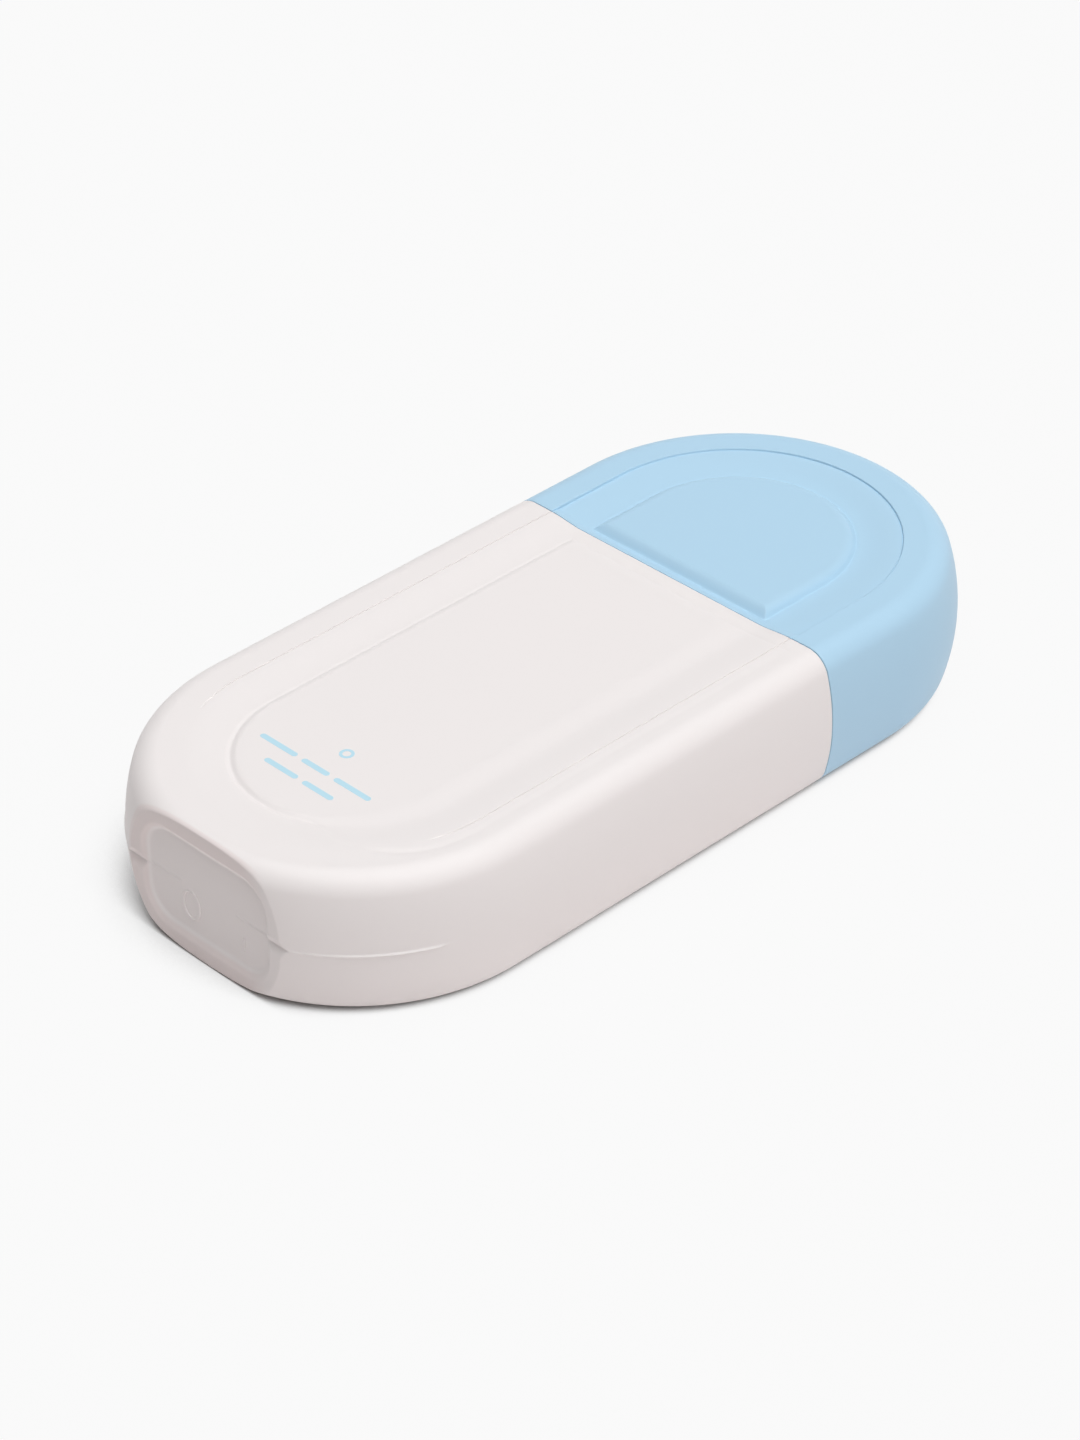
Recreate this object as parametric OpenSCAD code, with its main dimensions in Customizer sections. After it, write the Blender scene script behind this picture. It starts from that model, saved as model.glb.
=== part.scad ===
// Flat squeeze bottle for lotion, with a pull-off cap, lying on its back.
// X runs along the bottle from the base to the cap, Y runs across it and Z points out of the front face.
// The origin is the middle of the footprint, on the surface that the bottle lies on.

/* [Outline] */
// Length of the bottle from its base to the seam
body_length = 90.9; // [84:0.1:110]
// Length of the cap from the seam to its round end
cap_length = 47.9; // [46:0.1:60]
// Width across the widest line of the sides
overall_width = 66; // [62:0.5:74]
// Thickness over the raised borders of both faces
overall_thickness = 22.8; // [22:0.1:27]
// How far the flat base cuts into the round end
base_cut = 3.8; // [2:0.1:5]

/* [Edges and faces] */
// Radius of the soft edge between the faces and the sides
edge_radius = 4; // [3:0.1:4.5]
// How far the sides bow out between the soft edges
side_bow = 0.9; // [0.5:0.1:1.4]
// Width of the raised border, from the side to the sunk face
border_width = 8.5; // [7:0.1:10]
// Depth of the sunk face below its border
face_depth = 0.5; // [0.3:0.1:0.6]
// Radius of the round end of the raised label panel
label_radius = 16.8; // [12:0.1:20]
// Distance from the label panel to the seam
label_gap = 3; // [2:0.1:6]
// Height of the label panel above the sunk face
label_rise = 0.25; // [0.1:0.05:0.3]

/* [Base] */
// Depth of the sunk pan in the base
pan_depth = 0.9; // [0.5:0.1:2]
// Width of the pan
pan_width = 24.2; // [18:0.1:26]
// Height of the pan
pan_height = 16.2; // [12:0.1:17]
// Radius of the pan's corners
pan_corner = 5; // [2:0.1:5.9]
// Height of the pinch-off notch on each side of the pan
notch_height = 1.2; // [0.8:0.1:2]

/* [Bottle] */
// Wall of the bottle
bottle_wall = 1.2; // [0.9:0.1:1.5]
// Length of the collar that lines the cap up
collar_length = 8.5; // [6:0.1:10]
// Clearance between the collar and the inside of the cap
collar_clearance = 0.25; // [0.15:0.05:0.4]
// Radius of the neck
neck_radius = 7; // [6.5:0.1:7.2]
// Length of the neck beyond the collar
neck_length = 14; // [12:0.1:15]
// Radius of the neck's bore
neck_bore_radius = 5.2; // [4.8:0.1:5.5]
// How far the snap bead stands out of the neck
bead_rise = 0.6; // [0.3:0.1:0.7]
// Distance from the neck's lip to the middle of the bead
bead_setback = 4; // [3:0.1:6]

/* [Orifice plug] */
// Thickness of the plug's flange and web
plug_web = 1; // [0.8:0.1:1.4]
// How far the flange reaches over the neck's lip
plug_flange_lap = 1.4; // [0.8:0.1:1.6]
// Length of the skirt inside the neck
plug_skirt_length = 7; // [5:0.1:9]
// Wall of the skirt
plug_skirt_wall = 1; // [0.8:0.1:1.2]
// Radius of the nozzle
nozzle_radius = 3.2; // [2.8:0.1:4]
// Height of the nozzle above the flange
nozzle_height = 3; // [2:0.1:4]
// Radius of the orifice
orifice_radius = 1.5; // [1:0.1:2]

/* [Cap] */
// Wall of the cap shell
cap_wall = 1.6; // [1.3:0.1:1.8]
// Gap between the cap's mouth and the bottle's shoulder
seam_gap = 0.3; // [0.2:0.05:0.5]
// Half width of the finger pad and radius of its round end
pad_radius = 16.8; // [12:0.1:20]
// Distance from the seam to the finger pad
pad_gap = 3.1; // [2:0.1:6]
// Height of the finger pad above the sunk face
pad_rise = 0.4; // [0.2:0.05:0.5]
// Radius of the two posts that carry the insert
post_radius = 2.4; // [2:0.1:3]
// Radius of the post tips
post_tip_radius = 1.5; // [1.2:0.1:1.7]

/* [Cap insert] */
// Running clearance between the sleeve and the neck's bead
sleeve_clearance = 0.05; // [0.02:0.01:0.1]
// Wall of the sleeve
sleeve_wall = 1.1; // [0.8:0.1:1.2]
// Gap between the sleeve's mouth and the collar
sleeve_gap = 1.5; // [1:0.1:3]
// Thickness of the insert's plate
plate_thickness = 2; // [1.5:0.1:2.5]
// Width of the insert's plate
plate_width = 43; // [40:0.5:45]
// Clearance between the plate and the cap's inner faces
plate_clearance = 0.7; // [0.3:0.1:1.5]
// Radius of the plate's corners
plate_corner = 3; // [1:0.1:5]
// Distance from each post's axis to the end of the plate
post_margin = 5; // [4:0.1:7]
// Clearance between the spigot and the orifice
spigot_clearance = 0.06; // [0.03:0.01:0.1]
// How deep the spigot reaches into the nozzle
spigot_reach = 2.2; // [1:0.1:3]

/* [Sealing liner] */
// Thickness of the foam ring
liner_thickness = 1; // [0.6:0.1:1.5]
// Gap between the foam ring and the sleeve around it
liner_side_gap = 0.3; // [0.1:0.05:0.5]
// Gap between the foam ring and the nozzle's tip at rest
liner_gap = 0.1; // [0.05:0.05:0.2]

/* [Hidden] */
$fn = 96;

// How far a cut runs past the face that it opens
overrun = 1;

total_length = body_length + cap_length;
half_width = overall_width / 2;
mid_z = overall_thickness / 2;

// Places along the bottle
base_x = -total_length / 2;
seam_x = base_x + body_length;
cap_end_x = base_x + total_length;
base_centre_x = base_x + half_width - base_cut;
cap_centre_x = cap_end_x - half_width;
collar_end_x = seam_x + collar_length;
lip_x = collar_end_x + neck_length;
nozzle_tip_x = lip_x + plug_web + nozzle_height;
liner_x = nozzle_tip_x + liner_gap;
plate_x = liner_x + liner_thickness;
plate_back_x = plate_x + plate_thickness;

// The side's bow is an arc that is tangent to both soft edges
bow_half_height = mid_z - edge_radius;
bow_radius = (bow_half_height * bow_half_height + side_bow * side_bow) / (2 * side_bow);
bow_centre = half_width - bow_radius;
edge_reach = bow_radius - edge_radius;
edge_centre = bow_centre + sqrt(edge_reach * edge_reach - bow_half_height * bow_half_height);

// Sunk faces
face_radius = half_width - border_width;

// The insert's plate fits between the cap's inner faces, and the posts meet it near its ends
plate_height = overall_thickness - 2 * (face_depth + cap_wall + plate_clearance);
post_offset = plate_width / 2 - post_margin;

// Collar under the cap, one clearance inside the cap's own inner faces
collar_width = overall_width - 2 * (side_bow + cap_wall + collar_clearance);
collar_height = overall_thickness - 2 * (face_depth + cap_wall + collar_clearance);

// Round pieces on the neck's axis
bead_radius = neck_radius + bead_rise;
plug_flange_radius = neck_bore_radius + plug_flange_lap;
sleeve_bore_radius = bead_radius + sleeve_clearance;
sleeve_radius = sleeve_bore_radius + sleeve_wall;
spigot_radius = orifice_radius - spigot_clearance;
liner_radius = sleeve_bore_radius - liner_side_gap;

// Half of the bottle's cross-section, from the middle line outwards, drawn in by a wall
module half_section(inset = 0) {
    translate([0, inset])
        square([edge_centre, overall_thickness - 2 * inset]);
    for (z = [edge_radius, overall_thickness - edge_radius])
        translate([edge_centre, z])
            circle(edge_radius - inset);
    intersection() {
        translate([bow_centre, mid_z])
            circle(bow_radius - inset, $fn = 720);
        polygon([
            [bow_centre, mid_z],
            [bow_centre + bow_radius, mid_z + bow_radius * bow_half_height / (edge_centre - bow_centre)],
            [bow_centre + bow_radius, mid_z - bow_radius * bow_half_height / (edge_centre - bow_centre)]
        ]);
        square([half_width, overall_thickness]);
    }
}

// A flat outline on the YZ plane, pushed along X from one place to another
module along_x(from_x, to_x) {
    translate([from_x, 0, 0])
        rotate([90, 0, 90])
            linear_extrude(to_x - from_x)
                children();
}

// The straight run of the bottle's section
module straight_run(from_x, to_x, inset = 0) {
    along_x(from_x, to_x) {
        half_section(inset);
        mirror([1, 0])
            half_section(inset);
    }
}

// The round end of the bottle's section, turned to face the base at 90 and the cap at -90
module round_end(centre_x, turn, inset = 0) {
    translate([centre_x, 0, 0])
        rotate([0, 0, turn])
            rotate_extrude(angle = 180, $fn = 180)
                half_section(inset);
}

// A rectangle with round corners, centred on the neck's axis in the YZ plane
module rounded_plate(width, height, corner) {
    translate([0, mid_z]) {
        square([width - 2 * corner, height], center = true);
        square([width, height - 2 * corner], center = true);
        for (y = [-1, 1], z = [-1, 1])
            translate([y * (width / 2 - corner), z * (height / 2 - corner)])
                circle(corner);
    }
}

// A cylinder on the neck's axis
module on_axis(from_x, to_x, radius) {
    translate([from_x, 0, mid_z])
        rotate([0, 90, 0])
            cylinder(h = to_x - from_x, r = radius);
}

// A slab at one height: a half disc on a centre and a straight run from there to an edge
module round_ended_slab(centre_x, straight_x, radius, from_z, to_z) {
    translate([centre_x, 0, from_z])
        rotate([0, 0, straight_x > centre_x ? 90 : -90])
            rotate_extrude(angle = 180, $fn = 180)
                square([radius, to_z - from_z]);
    translate([min(centre_x, straight_x), -radius, from_z])
        cube([abs(straight_x - centre_x), 2 * radius, to_z - from_z]);
}

// Places its child on the front face and again, turned over, on the back face
module on_both_faces() {
    children();
    translate([0, 0, overall_thickness])
        mirror([0, 0, 1])
            children();
}

// The cut that sinks a face and leaves a low panel standing in it
module sunk_face(centre_x, open_x, panel_x, panel_radius, panel_rise) {
    floor_z = overall_thickness - face_depth;
    difference() {
        round_ended_slab(centre_x, open_x, face_radius, floor_z, overall_thickness + overrun);
        round_ended_slab(centre_x, panel_x, panel_radius, floor_z - overrun, floor_z + panel_rise);
    }
}

// The hollow under the faces of the bottle or the cap, one wall inside them
module hollow(centre_x, turn, open_x, wall) {
    difference() {
        union() {
            round_end(centre_x, turn, wall);
            straight_run(min(centre_x, open_x), max(centre_x, open_x), wall);
        }
        on_both_faces()
            round_ended_slab(centre_x, open_x, face_radius + wall,
                overall_thickness - face_depth - wall, overall_thickness);
    }
}

module bottle_blank() {
    difference() {
        intersection() {
            union() {
                round_end(base_centre_x, 90);
                straight_run(base_centre_x, seam_x);
            }
            translate([base_x, -half_width, 0])
                cube([body_length, overall_width, overall_thickness]);
        }
        on_both_faces()
            sunk_face(base_centre_x, seam_x + overrun, seam_x - label_gap, label_radius, label_rise);
        along_x(base_x - overrun, base_x + pan_depth)
            rounded_plate(pan_width, pan_height, pan_corner);
        translate([base_x - overrun, -half_width, mid_z - notch_height / 2])
            cube([pan_depth + overrun, overall_width, notch_height]);
    }
}

module bottle() {
    color([0.93, 0.92, 0.915])
        difference() {
            union() {
                bottle_blank();
                along_x(seam_x - bottle_wall, collar_end_x)
                    rounded_plate(collar_width, collar_height, edge_radius);
                on_axis(collar_end_x - bottle_wall, lip_x, neck_radius);
                translate([lip_x - bead_setback, 0, mid_z])
                    rotate([0, 90, 0])
                        rotate_extrude()
                            translate([neck_radius, 0])
                                circle(bead_rise);
            }
            intersection() {
                hollow(base_centre_x, 90, seam_x - bottle_wall, bottle_wall);
                translate([base_x + pan_depth + bottle_wall, -half_width, 0])
                    cube([body_length, overall_width, overall_thickness]);
            }
            along_x(seam_x - 2 * bottle_wall, collar_end_x - bottle_wall)
                rounded_plate(collar_width - 2 * bottle_wall, collar_height - 2 * bottle_wall,
                    edge_radius - bottle_wall);
            on_axis(collar_end_x - 2 * bottle_wall, lip_x + overrun, neck_bore_radius);
        }
}

module orifice_plug() {
    color([0.96, 0.96, 0.95])
        difference() {
            union() {
                on_axis(lip_x - plug_skirt_length, lip_x, neck_bore_radius);
                on_axis(lip_x, lip_x + plug_web, plug_flange_radius);
                on_axis(lip_x, nozzle_tip_x, nozzle_radius);
            }
            on_axis(lip_x - plug_skirt_length - overrun, lip_x, neck_bore_radius - plug_skirt_wall);
            on_axis(lip_x - overrun, nozzle_tip_x + overrun, orifice_radius);
        }
}

module cap_shell() {
    color([0.69, 0.84, 0.93]) {
        difference() {
            union() {
                round_end(cap_centre_x, -90);
                straight_run(seam_x + seam_gap, cap_centre_x);
            }
            on_both_faces()
                sunk_face(cap_centre_x, seam_x, seam_x + pad_gap, pad_radius, pad_rise);
            hollow(cap_centre_x, -90, seam_x, cap_wall);
        }
        for (side = [-1, 1])
            translate([0, side * post_offset, 0]) {
                intersection() {
                    on_axis(plate_back_x, cap_end_x, post_radius);
                    translate([0, -side * post_offset, 0])
                        round_end(cap_centre_x, -90, cap_wall / 2);
                }
                on_axis(plate_x, plate_back_x + overrun, post_tip_radius);
            }
    }
}

module cap_insert() {
    color([0.95, 0.95, 0.94]) {
        difference() {
            union() {
                along_x(plate_x, plate_back_x)
                    rounded_plate(plate_width, plate_height, plate_corner);
                on_axis(collar_end_x + sleeve_gap, plate_back_x, sleeve_radius);
            }
            on_axis(collar_end_x + sleeve_gap - overrun, plate_x, sleeve_bore_radius);
            for (side = [-1, 1])
                translate([0, side * post_offset, 0])
                    on_axis(plate_x - overrun, plate_back_x + overrun, post_tip_radius);
        }
        on_axis(nozzle_tip_x - spigot_reach, plate_x, spigot_radius);
    }
}

module sealing_liner() {
    color([0.9, 0.9, 0.88])
        difference() {
            on_axis(liner_x, plate_x, liner_radius);
            on_axis(liner_x - overrun, plate_x + overrun, spigot_radius);
        }
}

bottle();
orifice_plug();
cap_shell();
cap_insert();
sealing_liner();
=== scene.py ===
"""A flat squeeze bottle for lotion with a pull-off cap, lying on its back on a pale floor.

The bottle and the cap shell are built as fine smooth skins from the same lengths as the
solids of the frame. Lengths are in millimetres until a mesh is made, but for those of the
painted shade on the base's rim and the studio, which are in metres.
"""

import logging
import math
from collections.abc import Callable, Sequence
from dataclasses import dataclass
from enum import Enum
from functools import cached_property
from typing import ClassVar

import bmesh
import bpy
import numpy as np
from mathutils import Matrix, Vector


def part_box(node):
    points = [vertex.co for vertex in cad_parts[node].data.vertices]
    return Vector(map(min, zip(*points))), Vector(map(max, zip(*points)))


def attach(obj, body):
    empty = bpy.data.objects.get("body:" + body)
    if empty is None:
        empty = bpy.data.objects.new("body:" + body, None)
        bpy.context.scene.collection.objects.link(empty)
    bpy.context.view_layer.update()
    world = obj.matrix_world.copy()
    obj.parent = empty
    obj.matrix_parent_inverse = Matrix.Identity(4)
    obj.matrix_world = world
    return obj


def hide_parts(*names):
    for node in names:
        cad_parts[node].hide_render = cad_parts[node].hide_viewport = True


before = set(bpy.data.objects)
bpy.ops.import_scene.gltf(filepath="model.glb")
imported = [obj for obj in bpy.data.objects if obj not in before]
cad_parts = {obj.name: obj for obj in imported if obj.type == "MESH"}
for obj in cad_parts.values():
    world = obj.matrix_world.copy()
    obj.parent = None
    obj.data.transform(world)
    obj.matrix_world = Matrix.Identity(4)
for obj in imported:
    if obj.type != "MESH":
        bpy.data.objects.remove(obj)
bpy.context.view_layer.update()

LOG = logging.getLogger("lotion_bottle")
MM = 0.001
QUARTER = math.pi / 2
TINY = 1e-9  # Slack for rounding, and the least divisor
MERGE = 0.002 * MM  # Points closer than this become one
DEGENERATE = 0.0002 * MM  # Shorter edges are dissolved
SUPPORT = 0.05  # Distance of the extra loops that keep the flats beside a round flat
HALVINGS = 44  # Steps of the search for a plate's outline
NOISE_MEAN = 0.5

Colour = tuple[float, float, float]
Value = "float | Signal | bpy.types.NodeSocket | Sequence[float]"
Relief = Callable[[np.ndarray, np.ndarray, np.ndarray], np.ndarray]


# Shader nodes


class Signal:
    """A number socket of a node tree that takes part in Python arithmetic."""

    def __init__(self, graph: "Graph", socket: bpy.types.NodeSocket) -> None:
        """Keeps the socket and the graph that new Math nodes go into."""
        self.graph = graph
        self.socket = socket

    def _math(self, operation: str, left: Value, right: Value) -> "Signal":
        """Adds one Math node on two values and returns its result."""
        return self.graph.signal("ShaderNodeMath", {"operation": operation}, {0: left, 1: right})

    def __add__(self, other: Value) -> "Signal":
        """Returns self + other."""
        return self._math("ADD", self, other)

    __radd__ = __add__

    def __mul__(self, other: Value) -> "Signal":
        """Returns self * other."""
        return self._math("MULTIPLY", self, other)

    __rmul__ = __mul__

    def __sub__(self, other: Value) -> "Signal":
        """Returns self - other."""
        return self._math("SUBTRACT", self, other)

    def __rsub__(self, other: Value) -> "Signal":
        """Returns other - self."""
        return self._math("SUBTRACT", other, self)


class Graph:
    """The node tree of one material or of the world."""

    def __init__(self, owner: bpy.types.Material | bpy.types.World) -> None:
        """Turns on the owner's nodes and empties its tree.

        Args:
            owner: What the nodes belong to.
        """
        owner.use_nodes = True
        self.tree = owner.node_tree
        self.tree.nodes.clear()

    def node(
        self,
        kind: str,
        settings: dict[str, object] | None = None,
        inputs: dict[str | int, Value] | None = None,
    ) -> bpy.types.Node:
        """Adds a node.

        Args:
            kind: The node's type, such as ShaderNodeTexNoise.
            settings: Properties of the node, set before its sockets.
            inputs: A value, a Signal or a socket for each input, by name or number.

        Returns:
            The new node.
        """
        made = self.tree.nodes.new(kind)
        for name, value in (settings or {}).items():
            setattr(made, name, value)
        for key, value in (inputs or {}).items():
            if isinstance(value, Signal):
                value = value.socket
            if isinstance(value, bpy.types.NodeSocket):
                self.tree.links.new(value, made.inputs[key])
            else:
                made.inputs[key].default_value = value
        return made

    def signal(
        self,
        kind: str,
        settings: dict[str, object] | None = None,
        inputs: dict[str | int, Value] | None = None,
        output: str | int = 0,
    ) -> Signal:
        """Adds a node and returns one of its outputs.

        Args:
            kind: The node's type.
            settings: Properties of the node.
            inputs: A value, a Signal or a socket for each input.
            output: The name or number of the output.

        Returns:
            The output, ready for arithmetic.
        """
        return Signal(self, self.node(kind, settings, inputs).outputs[output])

    def fade(self, value: Value, low: float, high: float) -> Signal:
        """Rises smoothly from 0 where value is at low to 1 where it is at high."""
        span = {"Value": value, "From Min": low, "From Max": high}
        return self.signal("ShaderNodeMapRange", {"interpolation_type": "SMOOTHSTEP"}, span)

    def mix(self, blend: str, factor: Signal, base: Value, other: Value) -> bpy.types.NodeSocket:
        """Blends two colours.

        Args:
            blend: Blender's name for the way to blend them.
            factor: How much of the other one shows.
            base: The first colour.
            other: The other colour.

        Returns:
            The blended colour.
        """
        settings = {"data_type": "RGBA", "blend_type": blend}
        made = self.node("ShaderNodeMix", settings, {"Factor": factor, "A": base, "B": other})
        return made.outputs["Result"]


# Finishes


class Grain(Enum):
    """How coarse the moulded grain is, as noise cells per metre."""

    SILKY = 9000.0
    FINE = 5200.0
    FOAM = 2600.0


@dataclass(frozen=True)
class RimPaintedShade:
    """Painted shade on the rim of the base that the bottle stands on: a darker, warmer tone, which
    fades out towards the -Y side, where the key light falls.
    """

    shade_tint: Colour = (0.955, 0.915, 0.91)
    rim_x: float = -0.0694
    reach: float = 0.0008
    clear_y: float = -0.013
    full_y: float = -0.008

    def mix(self, graph: Graph, place: Signal, tone: bpy.types.NodeSocket) -> bpy.types.NodeSocket:
        """Multiplies a tone by the painted shade on the rim.

        Args:
            graph: The material's nodes.
            place: Object coordinates.
            tone: The colour without the painted shade.

        Returns:
            The colour with it.
        """
        parts = graph.node("ShaderNodeSeparateXYZ", None, {0: place}).outputs
        rim = graph.fade(parts["X"], self.rim_x + self.reach, self.rim_x + self.reach / 2)
        side = graph.fade(parts["Y"], self.clear_y, self.full_y)
        return graph.mix("MULTIPLY", rim * side, tone, (*self.shade_tint, 1.0))


@dataclass(frozen=True)
class MouldedPlastic:
    """A moulded plastic with a fine grain and a slight drift of tone over its surface."""

    clouds: ClassVar[dict[str, float]] = {"Scale": 38.0, "Detail": 3.0, "Roughness": 0.55}
    grain_detail: ClassVar[float] = 2.0
    bump_strength: ClassVar[float] = 0.35
    cloud_polish: ClassVar[float] = 0.08
    grain_polish: ClassVar[float] = 0.1

    name: str
    colour: Colour
    roughness: float = 0.42
    grain: Grain = Grain.FINE
    grain_depth: float = 0.004
    drift: float = 0.012
    specular: float = 0.5
    painted_rim_shade: RimPaintedShade | None = None

    def material(self) -> bpy.types.Material:
        """Builds the node material of this finish.

        Returns:
            The new material.
        """
        made = bpy.data.materials.new(self.name)
        graph = Graph(made)
        place = graph.signal("ShaderNodeTexCoord", output="Object")
        cloudy = graph.signal("ShaderNodeTexNoise", None, {"Vector": place, **self.clouds})
        cells = {"Vector": place, "Scale": self.grain.value, "Detail": self.grain_detail}
        grain = graph.signal("ShaderNodeTexNoise", None, cells)
        pale = (min(1.0, part * (1 + self.drift)) for part in self.colour)
        deep = (part * (1 - self.drift) for part in self.colour)
        colour = graph.mix("MIX", cloudy, (*deep, 1.0), (*pale, 1.0))
        # Painted shade on a rim, multiplied into the base colour
        if self.painted_rim_shade:
            colour = self.painted_rim_shade.mix(graph, place, colour)
        depth = self.grain_depth * MM
        relief = {"Height": grain, "Strength": self.bump_strength, "Distance": depth}
        polish = self.roughness + (cloudy - NOISE_MEAN) * self.cloud_polish
        surface = {
            "Base Color": colour,
            "Roughness": polish + (grain - NOISE_MEAN) * self.grain_polish,
            "Specular IOR Level": self.specular,
            "Normal": graph.signal("ShaderNodeBump", None, relief),
        }
        shader = graph.node("ShaderNodeBsdfPrincipled", None, surface)
        graph.node("ShaderNodeOutputMaterial", None, {"Surface": shader.outputs[0]})
        return made


# The warm white carries painted shade on the base's rim, darker and warmer where the key light
# doesn't reach
WARM_WHITE = MouldedPlastic(
    "warm_white_plastic", (0.873, 0.831, 0.823), drift=0.006, specular=0.36, painted_rim_shade=RimPaintedShade()
)
SKY_BLUE = MouldedPlastic("sky_blue_plastic", (0.462, 0.684, 0.855), drift=0.006, specular=0.25)
PLUG_WHITE = MouldedPlastic("waxy_plug_plastic", (0.86, 0.86, 0.84), 0.4, Grain.SILKY)
INSERT_WHITE = MouldedPlastic("satin_insert_plastic", (0.84, 0.85, 0.85), grain=Grain.SILKY)
LINER_FOAM = MouldedPlastic("closed_foam", (0.76, 0.76, 0.73), 0.8, Grain.FOAM, 0.03, 0.03)
PRINT_INK = MouldedPlastic("sky_blue_ink", (0.495, 0.745, 0.865), 0.45, Grain.SILKY, 0.001)


# Outlines and meshes


def spread(start: float, *runs: tuple[float, float]) -> np.ndarray:
    """Lays points along a line, closer in some runs than in others.

    Args:
        start: The first point.
        *runs: (end, greatest step) of each run, in order.

    Returns:
        The points, each once.
    """
    parts = []
    for end, step in runs:
        count = max(1, math.ceil(abs(end - start) / step))
        parts.append(np.linspace(start, end, count + 1)[:-1])
        start = end
    return np.concatenate([*parts, [start]])


def smooth_step(value: np.ndarray, low: float | np.ndarray, high: float | np.ndarray) -> np.ndarray:
    """Rises smoothly from 0 where value is at low to 1 where it is at high."""
    t = np.clip((value - low) / (high - low), 0.0, 1.0)
    return t * t * (3.0 - 2.0 * t)


def bell(offset: np.ndarray, width: float | np.ndarray) -> np.ndarray:
    """Falls smoothly from 1 where offset is 0 to about a third one width away."""
    return np.exp(-((offset / width) ** 2))


def soft_ramp(value: np.ndarray, round_share: float) -> np.ndarray:
    """Falls from 1 to 0 as value goes from -0.5 to 0.5, straight but for short rounds at the ends.

    Args:
        value: Places across the ramp.
        round_share: Reach of each round, as a share of the ramp.

    Returns:
        The height of each place.
    """

    def kink(t: np.ndarray) -> np.ndarray:
        """A smooth version of max(t, 0)."""
        near = np.clip(t / round_share, -1.0, 1.0)
        return np.where(t > round_share, t, round_share * (near + 1.0) ** 2 / 4.0)

    return np.clip(kink(0.5 - value) - kink(-0.5 - value), 0.0, 1.0)


def rounded_box_distance(
    across: np.ndarray, up: np.ndarray, half_width: float, half_height: float, corner: float
) -> np.ndarray:
    """Signed distance to a rectangle with round corners, negative inside it.

    Args:
        across: Places across the rectangle, from its middle.
        up: Places up it, from its middle.
        half_width: Half of its width.
        half_height: Half of its height.
        corner: Radius of its corners.

    Returns:
        The distance of each place.
    """
    dx = np.abs(across) - (half_width - corner)
    dy = np.abs(up) - (half_height - corner)
    outside = np.hypot(np.maximum(dx, 0.0), np.maximum(dy, 0.0))
    return outside + np.minimum(np.maximum(dx, dy), 0.0) - corner


def rounded_profile(corners: Sequence[tuple[float, float, float]], steps: int = 6) -> np.ndarray:
    """Rounds the corners of a closed outline.

    Args:
        corners: (x, radius from the axis, fillet) of each corner.
        steps: Pieces in each fillet's arc.

    Returns:
        The outline's points, as rows of x and radius.
    """
    points = []
    for i, (x, radius, fillet) in enumerate(corners):
        here = np.array((x, radius))
        before = np.array(corners[i - 1][:2]) - here
        after = np.array(corners[(i + 1) % len(corners)][:2]) - here
        before_length, after_length = np.linalg.norm(before), np.linalg.norm(after)
        before, after = before / before_length, after / after_length
        half = math.acos(float(np.clip(before @ after, -1.0, 1.0))) / 2
        reach = fillet / math.tan(half)
        middle = here + (before + after) / np.linalg.norm(before + after) * fillet / math.sin(half)
        first, last = here + before * reach - middle, here + after * reach - middle
        points.append(here + before * min(reach + SUPPORT, before_length / 2))
        swing = math.pi - 2 * half
        for step in range(steps + 1):
            t = step / steps
            arm = math.sin((1 - t) * swing) * first + math.sin(t * swing) * last
            points.append(middle + arm / math.sin(swing))
        points.append(here + after * min(reach + SUPPORT, after_length / 2))
    return np.array(points)


def add_object(name: str, data: bpy.types.ID) -> bpy.types.Object:
    """Puts a new object into the scene.

    Args:
        name: Its name.
        data: Its mesh, lamp or camera.

    Returns:
        The new object.
    """
    made = bpy.data.objects.new(name, data)
    bpy.context.scene.collection.objects.link(made)
    return made


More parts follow.
